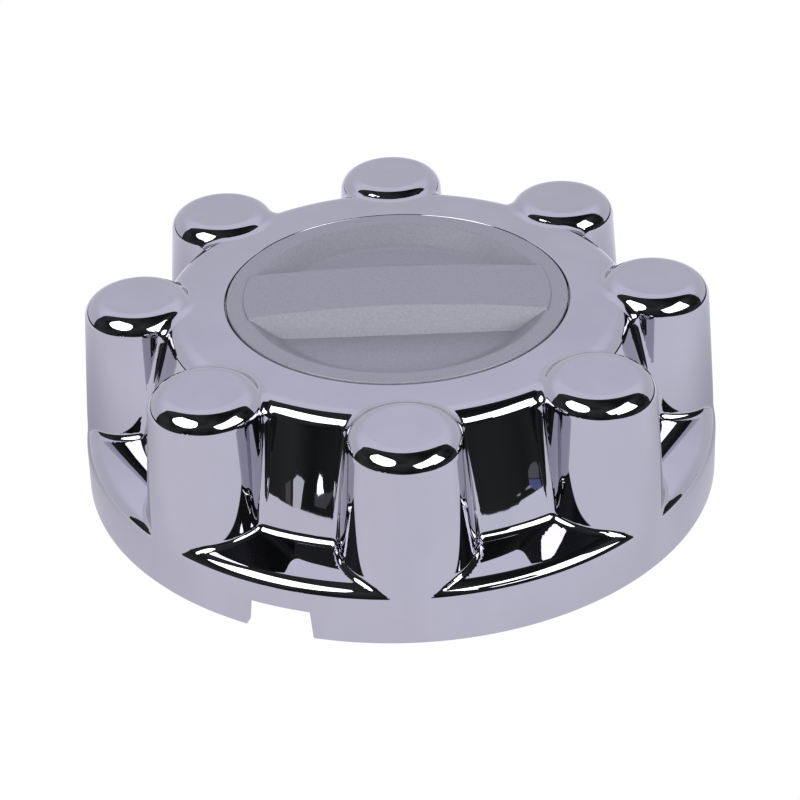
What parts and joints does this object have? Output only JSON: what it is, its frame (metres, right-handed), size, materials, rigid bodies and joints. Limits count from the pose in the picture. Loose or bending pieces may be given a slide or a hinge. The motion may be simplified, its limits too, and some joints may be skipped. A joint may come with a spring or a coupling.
{
  "type": "wheel center cap",
  "caption": "Round bright-plated wheel center cap with closed lug-nut covers round a raised hub, pockets between them, and a set-in satin disc with a raised bar.",
  "frame": {"origin": "centre of the rim circle, on the rim's plane", "axes": "+Z along the cap's axis, outwards from the wheel; +X along the bar of the centre disc, to the right as pictured; -Y towards the camera side"},
  "size_m": [0.214, 0.214, 0.0643],
  "materials": {
    "bright_plating": "mirror",
    "silver_paint": "satin",
    "spring_steel": "satin"
  },
  "bodies": {
    "root": {"cap_shell": "bright_plating", "center_disc": "silver_paint", "grip_ring_1": "spring_steel", "grip_ring_2": "spring_steel", "grip_ring_3": "spring_steel", "grip_ring_4": "spring_steel", "grip_ring_5": "spring_steel", "grip_ring_6": "spring_steel", "grip_ring_7": "spring_steel", "grip_ring_8": "spring_steel"}
  },
  "joints": []
}
